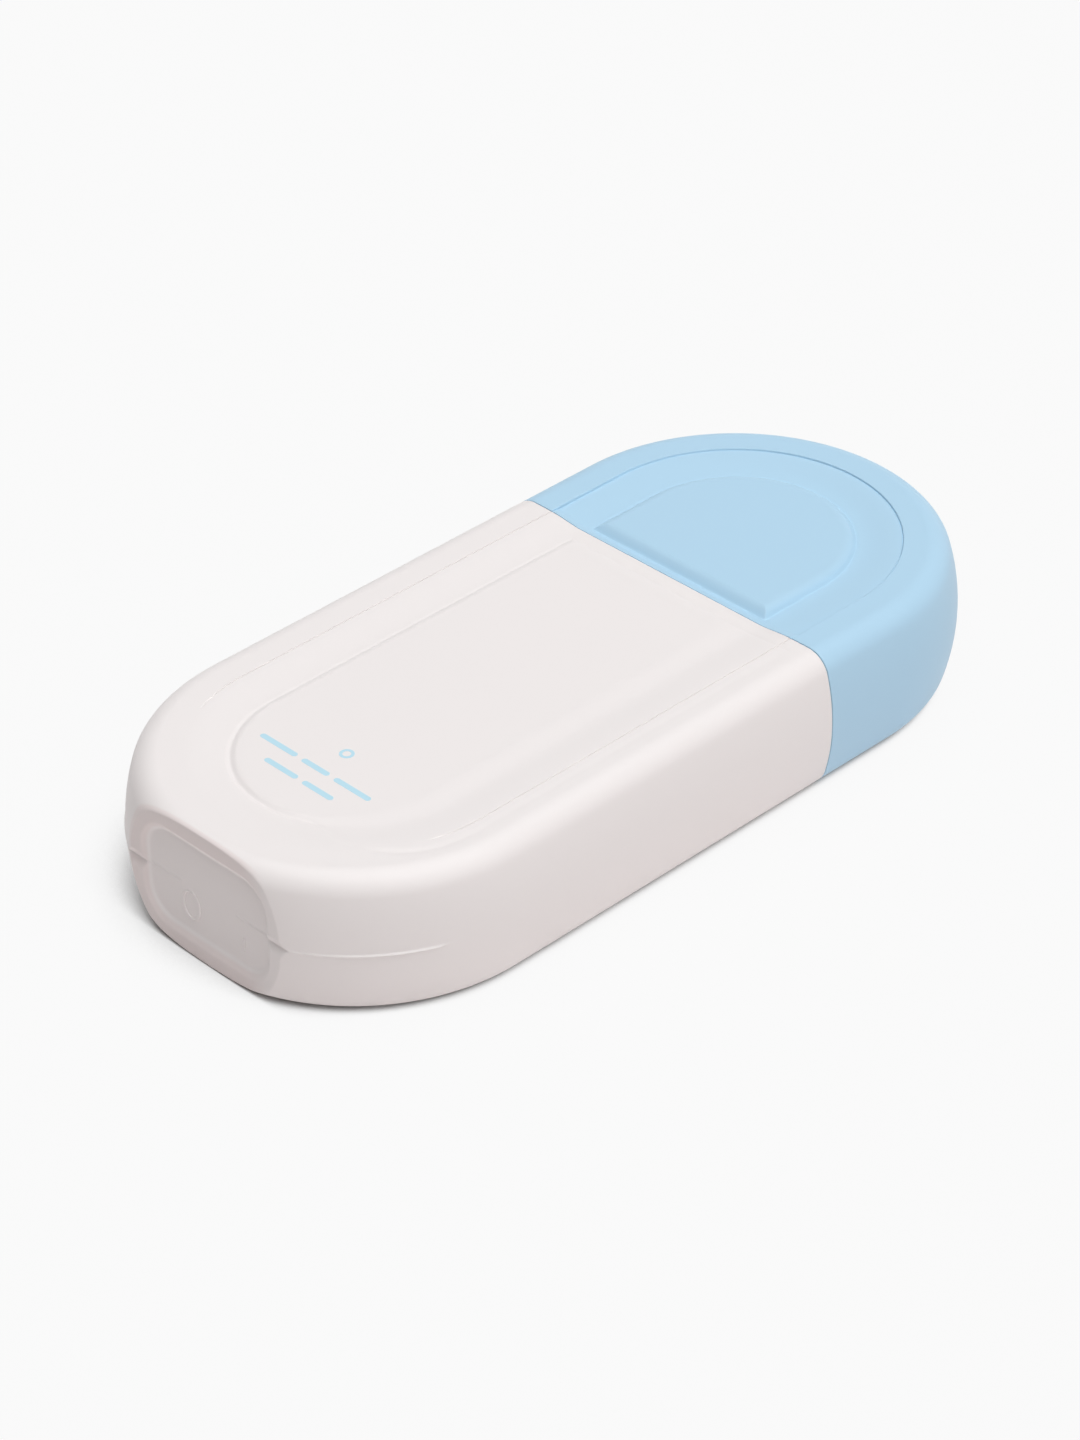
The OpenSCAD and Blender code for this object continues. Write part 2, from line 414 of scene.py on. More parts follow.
class Skin:
    """Gathers grids of points into one mesh with shared edges."""

    def __init__(self) -> None:
        """Starts with no points."""
        self.points: list[np.ndarray] = []
        self.quads: list[np.ndarray] = []
        self.count = 0

    def grid(self, points: np.ndarray, wrap: bool = False) -> None:
        """Adds a grid of quads.

        Args:
            points: Points in millimetres, as an array of lines, places and coordinates.
            wrap: Whether the last line joins the first.
        """
        lines, places = points.shape[:2]
        index = np.arange(lines * places).reshape(lines, places) + self.count
        if wrap:
            index = np.vstack([index, index[:1]])
        quads = np.stack([index[:-1, :-1], index[1:, :-1], index[1:, 1:], index[:-1, 1:]], axis=-1)
        self.points.append(points.reshape(-1, 3))
        self.quads.append(quads.reshape(-1, 4))
        self.count += lines * places

    def lathe(self, profile: np.ndarray, axis_y: float, axis_z: float, turns: int = 128) -> None:
        """Adds a closed outline turned round a line along X.

        Args:
            profile: Rows of x and radius of a closed outline.
            axis_y: Where the line lies across the bottle.
            axis_z: Where the line lies above the floor.
            turns: Steps in the turn.
        """
        angles = np.linspace(0.0, 2 * math.pi, turns, endpoint=False)[:, None]
        outline = np.vstack([profile, profile[:1]])
        x = np.broadcast_to(outline[None, :, 0], (turns, len(outline)))
        y = axis_y + np.cos(angles) * outline[None, :, 1]
        z = axis_z + np.sin(angles) * outline[None, :, 1]
        self.grid(np.stack([x, y, z], axis=-1), wrap=True)

    def build(self, name: str, smooth: bool = True) -> bpy.types.Object:
        """Joins what was gathered into one object.

        Args:
            name: The object's name.
            smooth: Whether its faces are shaded as one curved skin.

        Returns:
            The new object, in the scene.
        """
        mesh = bpy.data.meshes.new(name)
        points, quads = np.concatenate(self.points) * MM, np.concatenate(self.quads)
        mesh.from_pydata(points.tolist(), [], quads.tolist())
        work = bmesh.new()
        work.from_mesh(mesh)
        bmesh.ops.remove_doubles(work, verts=work.verts, dist=MERGE)
        bmesh.ops.dissolve_degenerate(work, edges=work.edges, dist=DEGENERATE)
        bmesh.ops.recalc_face_normals(work, faces=work.faces)
        for face in work.faces:
            face.smooth = smooth
        open_edges = sum(1 for edge in work.edges if not edge.is_manifold)
        LOG.info("%s: %d faces, %d open edges", name, len(work.faces), open_edges)
        work.to_mesh(mesh)
        work.free()
        return add_object(name, mesh)


def dress(made: bpy.types.Object, finish: bpy.types.Material) -> None:
    """Gives an object its material, in place of any other.

    Args:
        made: A piece, or a CAD node that stays.
        finish: The material.
    """
    made.data.materials.clear()
    made.data.materials.append(finish)
    LOG.info("%s is dressed in %s", made.name, finish.name)


def finish_piece(
    made: bpy.types.Object,
    finish: bpy.types.Material,
    body: str,
    stands_for: Sequence[str] = (),
) -> None:
    """Dresses a piece and ties it to the frame.

    Args:
        made: The piece.
        finish: Its material.
        body: The CAD body that it moves with.
        stands_for: The CAD nodes that it stands for.
    """
    dress(made, finish)
    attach(made, body)
    if stands_for:
        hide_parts(*stands_for)
    LOG.info("%s rides on %s", made.name, body)


@dataclass(frozen=True)
class Rows:
    """Points of the half section, from the middle of the back face to that of the front face."""

    reach: np.ndarray
    height: np.ndarray
    normal_out: np.ndarray
    normal_up: np.ndarray


@dataclass(frozen=True)
class Section:
    """The half section that bottle and cap share: flat faces, soft edges and a bowed side."""

    # (end, greatest step) of the points across a face: fine at the edges of the label and the
    # finger pad, and finest at the groove round the face.
    face_runs: ClassVar[tuple[tuple[float, float], ...]] = (
        (14.0, 0.7),
        (15.4, 0.2),
        (18.8, 0.1),
        (23.6, 0.5),
        (24.2, 0.1),
        (24.28, 0.04),
        (24.62, 0.02),
        (24.7, 0.04),
        (25.1, 0.1),
    )
    border_step: ClassVar[float] = 0.42
    edge_points: ClassVar[int] = 28
    side_step: ClassVar[float] = 0.2
    parting_reach: ClassVar[float] = 1.0
    parting_step: ClassVar[float] = 0.08

    half_width: float = 33.0
    thickness: float = 22.8
    edge_radius: float = 4.0
    side_bow: float = 0.9
    face_radius: float = 24.45
    face_depth: float = 0.5
    step_width: float = 0.26
    step_rise: float = 0.16
    groove_depth: float = 0.24
    groove_width: float = 0.07
    cove_width: float = 6.5

    @property
    def mid_z(self) -> float:
        """Height of the middle of the section."""
        return self.thickness / 2

    @property
    def bow_half(self) -> float:
        """Half of the height of the side's bow, between the centres of the soft edges."""
        return self.mid_z - self.edge_radius

    @property
    def bow_radius(self) -> float:
        """Radius of the side's bow."""
        half, bow = self.bow_half, self.side_bow
        return (half * half + bow * bow) / (2 * bow)

    @property
    def bow_centre(self) -> float:
        """Distance of the bow's centre from the middle plane."""
        return self.half_width - self.bow_radius

    @property
    def edge_centre(self) -> float:
        """Distance of the soft edges' centres from the middle plane."""
        reach, half = self.bow_radius - self.edge_radius, self.bow_half
        return self.bow_centre + math.sqrt(reach * reach - half * half)

    @cached_property
    def rows(self) -> Rows:
        """The points of the half section, close together where a step or a line falls.

        Returns:
            The points with their outward normals.
        """
        face = spread(0.0, *self.face_runs, (self.edge_centre, self.border_step))[:-1]
        bow_angle = math.asin(self.bow_half / (self.bow_radius - self.edge_radius))
        edge = np.linspace(QUARTER, bow_angle, self.edge_points)[:-1]
        length, near = self.bow_radius * bow_angle, self.parting_reach
        runs = ((near, self.side_step), (-near, self.parting_step), (-length, self.side_step))
        bow = (spread(length, *runs) / self.bow_radius)[1:-1]
        angle = np.concatenate([edge, [bow_angle], bow, [-bow_angle], -edge[::-1]])
        on_edge = np.abs(angle) >= bow_angle - TINY
        radius = np.where(on_edge, self.edge_radius, self.bow_radius)
        centre_out = np.where(on_edge, self.edge_centre, self.bow_centre)
        centre_up = np.where(on_edge, np.sign(angle) * self.bow_half, 0.0)
        zeros, ones = np.zeros_like(face), np.ones_like(face)
        top, side_up = self.mid_z * ones, centre_up + radius * np.sin(angle)
        return Rows(
            reach=np.concatenate([face, centre_out + radius * np.cos(angle), face[::-1]]),
            height=self.mid_z - np.concatenate([top, side_up, -top]),
            normal_out=np.concatenate([zeros, np.cos(angle), zeros]),
            normal_up=-np.concatenate([ones, np.sin(angle), -ones]),
        )

    def sunk(
        self,
        reach: np.ndarray,
        wall: float = 0.0,
        depth: float | np.ndarray | None = None,
        groove: float | np.ndarray = 0.0,
    ) -> np.ndarray:
        """How far the sunk face lies in: a fine groove and a low step at its edge, then a cove.

        Args:
            reach: Distances from the middle plane or the round end's centre.
            wall: Wall between the outside and this surface.
            depth: Depth of the face, if it isn't the usual one.
            groove: Share of the fine groove that shows.

        Returns:
            The depth of each place.
        """
        edge = self.face_radius + wall
        deep = self.face_depth if depth is None else depth
        more = deep / self.face_depth
        step = smooth_step((reach - edge) / (self.step_width * more), 0.5, -0.5)
        cove = smooth_step(reach, edge, edge - self.cove_width)
        rise = self.step_rise * (more**2 - 1.0)
        hair = self.groove_depth * groove * bell(reach - edge, self.groove_width)
        return rise * step + (deep - rise) * cove + hair


@dataclass(frozen=True)
class RoundEnd:
    """The way that the section follows: along one side, round an end and back along the other."""

    past_fillet: ClassVar[float] = 0.06  # From the fillet to the next place

    section: Section
    centre_x: float
    facing: float

    def straight(self, open_x: float, fillet: float, *runs: tuple[float, float]) -> np.ndarray:
        """Lays places from the open end to the round end's centre.

        Args:
            open_x: The open end.
            fillet: Radius of the round at that end.
            *runs: (end, greatest step) of each run past that round.

        Returns:
            The places along X, without the centre.
        """
        on_fillet = [open_x + self.facing * along for along, _ in reversed(quarter_round(fillet))]
        start = open_x + self.facing * fillet + self.facing * self.past_fillet
        return np.concatenate([on_fillet, spread(start, *runs)[:-1]])

    def lay(
        self,
        straight: np.ndarray,
        turns: np.ndarray,
        relief: Relief,
        wall: float = 0.0,
        fillet: float = 0.0,
    ) -> tuple[np.ndarray, np.ndarray]:
        """Lays the section along the way.

        Args:
            straight: Places along X from the open end to the round end's centre.
            turns: Angles of the sections round the end, from the axis.
            relief: How far each place lies in, from its x, its distance out and its side of
                the middle plane, which runs from -1 to 1.
            wall: Distance of this surface inside the outside.
            fillet: Radius of the round that draws the surface in at the open end.

        Returns:
            The points, as an array of sections, rows and coordinates, and the X part of
            their outward normals.
        """
        rows = self.section.rows
        still, ones = np.zeros_like(straight), np.ones_like(straight)
        centre = np.full_like(turns, self.centre_x)
        origin = np.concatenate([straight, centre, straight[::-1]])[:, None]
        head_x = np.concatenate([still, self.facing * np.cos(turns), still])[:, None]
        head_y = np.concatenate([-ones, np.sin(turns), ones])[:, None]
        shape = (len(origin), len(rows.reach))
        reach, side = np.broadcast_to(rows.reach, shape), np.broadcast_to(head_y, shape)
        inset = wall + relief(origin + head_x * reach, reach, side)
        if fillet:
            short = np.clip(fillet - np.abs(origin - straight[0]), 0.0, fillet)
            inset = inset + fillet - np.sqrt(fillet**2 - short**2)
        out = reach - inset * rows.normal_out
        z = rows.height - inset * rows.normal_up
        points = np.stack([origin + head_x * out, head_y * out, z], axis=-1)
        return points, head_x * rows.normal_out

    def hollow(self, start_x: float, wall: float, step: float, turn_step: float) -> np.ndarray:
        """Lays the skin of the hollow behind a wall.

        Args:
            start_x: Where the skin starts.
            wall: Thickness of the wall.
            step: Greatest step along X.
            turn_step: Greatest step of the turn round the end.

        Returns:
            The points of the skin.
        """

        def face(_: np.ndarray, reach: np.ndarray, __: np.ndarray) -> np.ndarray:
            """The sunk face alone, without the relief of the outside."""
            return self.section.sunk(reach, wall)

        straight = spread(start_x, (self.centre_x, step))[:-1]
        return self.lay(straight, spread(-QUARTER, (QUARTER, turn_step)), face, wall)[0]


def mouth_ring(points: np.ndarray) -> np.ndarray:
    """The closed loop at the open end of a skin that goes round an end."""
    return np.concatenate([points[0], points[-1][::-1]])


def plate_radius(bearing: np.ndarray, width: float, height: float, corner: float) -> np.ndarray:
    """How far the outline of a plate with round corners lies from its middle.

    Args:
        bearing: Directions from the middle.
        width: Width of the plate.
        height: Height of the plate.
        corner: Radius of its corners.

    Returns:
        The distance in each direction.
    """
    near, far = np.zeros_like(bearing), np.full_like(bearing, width)
    for _ in range(HALVINGS):
        middle = (near + far) / 2
        across, up = middle * np.cos(bearing), middle * np.sin(bearing)
        distance = rounded_box_distance(across, up, width / 2, height / 2, corner)
        near = np.where(distance < 0, middle, near)
        far = np.where(distance < 0, far, middle)
    return near


def axis_ring(
    bearing: np.ndarray, mid_z: float, x: float, radius: float | np.ndarray
) -> np.ndarray:
    """A loop round the axis, with a point at the radius in each of the given directions."""
    across, up = radius * np.cos(bearing), mid_z + radius * np.sin(bearing)
    return np.stack([np.full_like(bearing, x), across, up], axis=-1)


def quarter_round(radius: float, steps: int = 5) -> list[tuple[float, float]]:
    """Ways along and across a quarter-round edge, from its start along to its end across.

    Args:
        radius: Radius of the edge.
        steps: Pieces in the arc.

    Returns:
        (distance still to go to the end face, distance drawn in) of each point.
    """
    angles = [QUARTER * i / steps for i in range(steps + 1)]
    return [(radius * (1 - math.sin(a)), radius * (1 - math.cos(a))) for a in angles]


# Pieces of the bottle


@dataclass(frozen=True)
class Places:
    """Places along the bottle, taken from the boxes of the frame's solids."""

    solid_gap: ClassVar[float] = 0.3
    seam_gap: ClassVar[float] = 0.14

    base_x: float
    lip_x: float
    seam_x: float
    cap_end_x: float
    mouth_x: float
    nozzle_x: float
    plug_x: float

    @classmethod
    def from_frame(cls) -> "Places":
        """Reads the places from the frame.

        Returns:
            The places.
        """
        boxes = {name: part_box(name) for name in ("bottle", "cap_shell", "orifice_plug")}
        base_x, lip_x = (corner[0] / MM for corner in boxes["bottle"])
        mouth_x, cap_end_x = (corner[0] / MM for corner in boxes["cap_shell"])
        plug_x, nozzle_x = (corner[0] / MM for corner in boxes["orifice_plug"])
        seam_x = mouth_x - cls.solid_gap
        return cls(base_x, lip_x, seam_x, cap_end_x, seam_x + cls.seam_gap, nozzle_x, plug_x)


@dataclass
class BaseForm:
    """The flat base with its sunk pan and the notch that the mould's pinch-off leaves."""

    base_x: float
    mid_z: float
    pan_depth: float = 0.9
    lip_half_width: float = 13.15
    lip_half_height: float = 8.75
    floor_half_width: float = 12.0
    floor_half_height: float = 7.4
    corner: float = 5.0
    slope_blend: float = 0.25
    pan_edge: float = 0.16
    notch_half_height: float = 1.3
    notch_depth: float = 0.6
    notch_power: float = 1.1
    burr_rise: float = 0.07
    burr_up: float = 1.55
    burr_spread: float = 0.3
    edge_round: float = 0.6
    least_cosine: float = 0.3
    least_blend: float = 1e-4
    parting_rise: float = 0.16
    parting_spread: float = 0.17
    parting_from: float = 5.5
    parting_fade: float = 0.6

    def depth(self, y: np.ndarray, z: np.ndarray) -> np.ndarray:
        """How deep the base lies behind its rim.

        Args:
            y: Places across the base.
            z: Heights above the floor.

        Returns:
            The depth of each place.
        """
        up, tall, wide = z - self.mid_z, np.abs(z - self.mid_z), np.abs(y)
        half_width = (self.lip_half_width + self.floor_half_width) / 2
        half_height = (self.lip_half_height + self.floor_half_height) / 2
        distance = rounded_box_distance(y, up, half_width, half_height, self.corner)
        side_slope = self.lip_half_width - self.floor_half_width
        top_slope = self.lip_half_height - self.floor_half_height
        lean = tall / half_height - wide / half_width
        steep = smooth_step(lean, -self.slope_blend, self.slope_blend)
        pan = soft_ramp(distance / (side_slope + (top_slope - side_slope) * steep), self.pan_edge)
        near = 1.0 - np.clip(tall / self.notch_half_height, 0.0, 1.0)
        notch = self.notch_depth * near**self.notch_power
        burr = self.burr_rise * bell(up - self.burr_up, self.burr_spread) * (1.0 - pan)
        far = smooth_step(wide, self.parting_from, self.parting_from + self.parting_fade)
        line = self.parting_rise * bell(up, self.parting_spread) * pan * far
        return np.maximum(self.pan_depth * pan, notch) + self.burr_rise - burr - line

    def cut(self, points: np.ndarray, normal_x: np.ndarray) -> np.ndarray:
        """Flattens the round end on to the base, with a small round along the crease.

        Args:
            points: Points of the bottle's skin.
            normal_x: X part of their outward normals.

        Returns:
            The points, moved along X where they lay beyond the base.
        """
        x, y, z = np.moveaxis(points, -1, 0)
        floor = self.base_x + self.depth(y, z)
        bend = np.arccos(np.clip(-normal_x, self.least_cosine, 1.0))
        blend = self.edge_round * np.tan(bend / 2) * (np.tan(bend) + np.sin(bend)) / 2
        blend += self.least_blend
        overlap = np.clip(1 - np.abs(x - floor) / blend, 0.0, 1.0)
        moved = points.copy()
        moved[..., 0] = np.maximum(x, floor) + overlap**2 * blend / 4
        return moved


@dataclass
class BaseMarks:
    """The plain raised marks that the mould leaves on the floor of the base's pan."""

    floor_x: float
    mid_z: float
    rise: float = 0.2
    sunk: float = 0.15
    half_line: float = 0.2
    arc_points: int = 7
    ring_points: int = 41
    ring_y: float = 3.9
    ring_up: float = -3.2
    ring_half_width: float = 1.7
    ring_half_height: float = 2.3
    bar_y: float = -7.0
    bar_up: float = -4.2
    bar_half_height: float = 1.1
    bar_full: float = 0.9

    def _bead(self, skin: Skin, path: np.ndarray, across: np.ndarray) -> None:
        """Adds a low rounded bead along a path.

        Args:
            skin: The skin that the bead joins.
            path: Points of y and z along the bead.
            across: Directions across the path, one per point, shorter where the bead is thin.
        """
        angles = np.linspace(0.0, math.pi, self.arc_points)
        arc = np.column_stack([self.half_line * np.cos(angles), -self.rise * np.sin(angles)])
        foot = [[-self.half_line, self.sunk], [self.half_line, self.sunk]]
        arc = np.vstack([arc, foot, arc[:1]])
        yz = path[:, None, :] + across[:, None, :] * arc[None, :, :1]
        x = np.broadcast_to(self.floor_x + arc[None, :, 1:], (len(path), len(arc), 1))
        skin.grid(np.concatenate([x, yz], axis=-1))

    def build(self, finish: bpy.types.Material) -> None:
        """Builds the marks and ties them to the frame.

        Args:
            finish: Their material.
        """
        skin = Skin()
        turn = np.linspace(0.0, 2 * math.pi, self.ring_points)
        across = np.column_stack([np.cos(turn), np.sin(turn)])
        middle = np.array([self.ring_y, self.mid_z + self.ring_up])
        size = np.array([self.ring_half_width, self.ring_half_height])
        self._bead(skin, middle + across * size, across)
        shares = np.array([-1.0, -self.bar_full, self.bar_full, 1.0])
        heights = self.mid_z + self.bar_up + shares * self.bar_half_height
        ends = np.column_stack([[0.0, 1.0, 1.0, 0.0], np.zeros(4)])
        self._bead(skin, np.column_stack([np.full(4, self.bar_y), heights]), ends)
        finish_piece(skin.build("base_marks"), finish, "container")


@dataclass
class Bottle:
    """The blow-moulded container, from its base to the lip of its neck."""

    section: Section
    places: Places
    base_cut: float = 3.8
    wall: float = 1.2
    groove_gone: float = 0.6
    groove_full: float = 0.2
    label_radius: float = 16.9
    label_slope: float = 1.3
    label_soft_slope: float = 5.0
    label_soft_from: float = -0.4
    label_gap: float = 3.1
    label_rise: float = 0.22
    label_shift: float = 0.75
    label_line: float = 0.06
    label_line_growth: float = 2.4
    label_line_width: float = 0.3
    label_line_widening: float = 0.7
    label_line_out: float = 0.3
    label_line_away: float = 9.0
    shoulder_round: float = 0.12
    shoulder_step: float = 0.45
    slope_share: float = 0.6
    slope_step: float = 0.12
    panel_reach: float = 3.0
    panel_step: float = 1.0
    body_step: float = 4.0
    turn_step: float = 0.036
    base_angle: float = math.radians(34)
    base_step: float = 0.18
    hollow_step: float = 12.0
    hollow_turn_step: float = 0.06
    collar_length: float = 8.5
    collar_width: float = 60.5
    collar_height: float = 18.1
    collar_corner: float = 4.0
    least_corner: float = 0.5
    collar_round: float = 0.5
    neck_radius: float = 7.0
    neck_root: float = 0.5
    bore_radius: float = 5.2
    bead_rise: float = 0.6
    bead_setback: float = 4.0
    bead_half_length: float = 0.85
    bead_loops: int = 15
    lip_round: float = 0.25
    lip_steps: int = 4
    ridge_rise: float = 0.3
    ridge_spread: float = 0.17
    ridge_low: float = 0.35
    ridge_from: float = 17.0
    ridge_full: float = 27.0
    ridge_to: float = 30.6
    ridge_fade: float = 0.5

    @property
    def centre_x(self) -> float:
        """Where the round end's centre lies."""
        return self.places.base_x + self.section.half_width - self.base_cut

    @property
    def label_z(self) -> float:
        """Height of the label panel."""
        return self.section.thickness - self.section.face_depth + self.label_rise

    @property
    def way(self) -> RoundEnd:
        """The way that the section follows round the base."""
        return RoundEnd(self.section, self.centre_x, -1.0)

    def relief(self, x: np.ndarray, reach: np.ndarray, side: np.ndarray) -> np.ndarray:
        """How far the outside lies in: the sunk face less the label panel.

        Args:
            x: Places along the bottle.
            reach: Distances out from the middle plane or the round end's centre.
            side: Which side of the middle plane, from -1 to 1.

        Returns:
            The depth of each place.
        """
        end = np.clip((self.centre_x - x) / self.label_radius, 0.0, 1.0)
        beside = self.label_radius + self.label_shift * end - reach
        before = self.places.seam_x - self.label_gap - x
        soft = smooth_step(side, self.label_soft_from, -1.0)
        slope = self.label_slope + (self.label_soft_slope - self.label_slope) * soft
        panel = smooth_step(beside / slope, -0.5, 0.5)
        panel = panel * smooth_step(before / self.label_slope, -1.0, 1.0)
        inside = np.minimum(beside + self.label_line_away * soft, before)
        width = self.label_line_width * (1.0 + self.label_line_widening * end)
        line = bell(inside + self.label_slope * self.label_line_out, width)
        line *= self.label_line * (1.0 + self.label_line_growth * end)
        face = self.section.sunk(reach, groove=smooth_step(end, self.groove_gone, self.groove_full))
        return face - self.label_rise * panel + line

    def outside(self) -> np.ndarray:
        """Lays the outer skin, from the seam round the base and back.

        Returns:
            The points of the skin.
        """
        label_end = self.places.seam_x - self.label_gap
        slope = self.label_slope * self.slope_share
        straight = self.way.straight(
            self.places.seam_x,
            self.shoulder_round,
            (label_end + slope, self.shoulder_step),
            (label_end - slope, self.slope_step),
            (label_end - self.panel_reach, self.panel_step),
            (self.centre_x, self.body_step),
        )
        turns = spread(
            -QUARTER,
            (-self.base_angle, self.turn_step),
            (self.base_angle, self.base_step / self.section.half_width),
            (QUARTER, self.turn_step),
        )
        points, normal_x = self.way.lay(straight, turns, self.relief, fillet=self.shoulder_round)
        base = BaseForm(self.places.base_x, self.section.mid_z)
        return base.cut(self._part_line(points), normal_x)

    def _part_line(self, points: np.ndarray) -> np.ndarray:
        """Raises the fine line that the mould's halves leave beside the base.

        Args:
            points: Points of the outer skin.

        Returns:
            The points, moved outward where the line runs.
        """
        x, y, z = np.moveaxis(points, -1, 0)
        growth = smooth_step(np.abs(y), self.ridge_from, self.ridge_full)
        end = smooth_step(np.abs(y), self.ridge_to, self.ridge_to - self.ridge_fade)
        along = (self.ridge_low + (1.0 - self.ridge_low) * growth) * end * (x < self.centre_x)
        lift = self.ridge_rise * along * bell(z - self.section.mid_z, self.ridge_spread)
        outward = np.stack([x - self.centre_x, y], axis=-1)
        outward /= np.maximum(np.linalg.norm(outward, axis=-1, keepdims=True), TINY)
        moved = points.copy()
        moved[..., :2] += outward * (lift * self.section.rows.normal_out)[..., None]
        return moved

    def neck_rings(self, mouth: np.ndarray) -> list[np.ndarray]:
        """Loops from the shoulder over the collar and the neck to the lip and down the bore.

        Args:
            mouth: The loop where the outer skin ends.

        Returns:
            The loops, in order.
        """
        rows, mid_z = self.section.rows, self.section.mid_z
        seam, lip, neck = self.places.seam_x, self.places.lip_x, self.neck_radius
        collar_end = seam + self.collar_length
        inner_end = collar_end - self.wall
        rise = rows.height - mid_z
        left, right = np.arctan2(rise, -rows.reach), np.arctan2(rise, rows.reach)
        bearing = np.concatenate([left, right[::-1]])

        def plate(x: float, inset: float) -> np.ndarray:
            """Lays a loop of the collar.

            Args:
                x: Where it lies along the bottle.
                inset: How far it is drawn in.

            Returns:
                The points of the loop.
            """
            size = (self.collar_width - 2 * inset, self.collar_height - 2 * inset)
            corner = max(self.collar_corner - inset, self.least_corner)
            return axis_ring(bearing, mid_z, x, plate_radius(bearing, *size, corner))

        collar = [(seam, -SUPPORT), (seam, 0.0), (seam + SUPPORT, 0.0)]
        collar.append((collar_end - self.collar_round - SUPPORT, 0.0))
        collar += [(collar_end - along, inset) for along, inset in quarter_round(self.collar_round)]
        collar.append((collar_end, self.collar_round + SUPPORT))
        loops = [(collar_end, neck + self.neck_root + SUPPORT)]
        for out, along in reversed(quarter_round(self.neck_root)):
            loops.append((collar_end + along, neck + out))
        bead_x, half = lip - self.bead_setback, self.bead_half_length
        for x in np.linspace(bead_x - half, bead_x + half, self.bead_loops):
            swell = math.cos(QUARTER * (x - bead_x) / half) ** 2
            loops.append((float(x), neck + self.bead_rise * swell))
        loops.append((lip - self.lip_round - SUPPORT, neck))
        for along, inset in quarter_round(self.lip_round, self.lip_steps):
            loops.append((lip - along, neck - inset))
        loops += [(x, self.bore_radius) for x in (lip, lip - SUPPORT, inner_end)]
        return [
            mouth,
            *(plate(*loop) for loop in collar),
            *(axis_ring(bearing, mid_z, *loop) for loop in loops),
            *(plate(x, self.wall) for x in (inner_end, seam - self.wall)),
        ]

    def inside(self) -> np.ndarray:
        """Lays the skin of the hollow.

        Returns:
            The points of the skin.
        """
        start_x = self.places.seam_x - self.wall
        points = self.way.hollow(start_x, self.wall, self.hollow_step, self.hollow_turn_step)
        floor = self.places.base_x + BaseForm.pan_depth + self.wall
        points[..., 0] = np.maximum(points[..., 0], floor)
        return points

    def build(self, finish: bpy.types.Material) -> None:
        """Builds the container and its marks and ties them to the frame.

        Args:
            finish: Their material.
        """
        outside, inside = self.outside(), self.inside()
        rings = np.stack([*self.neck_rings(mouth_ring(outside)), mouth_ring(inside)])
        skin = Skin()
        for points in (outside, inside, rings):
            skin.grid(points)
        made = skin.build("bottle_body")
        finish_piece(made, finish, "container", ["bottle"])
        floor_x = self.places.base_x + BaseForm.pan_depth + BaseForm.burr_rise
        BaseMarks(floor_x, self.section.mid_z).build(finish)


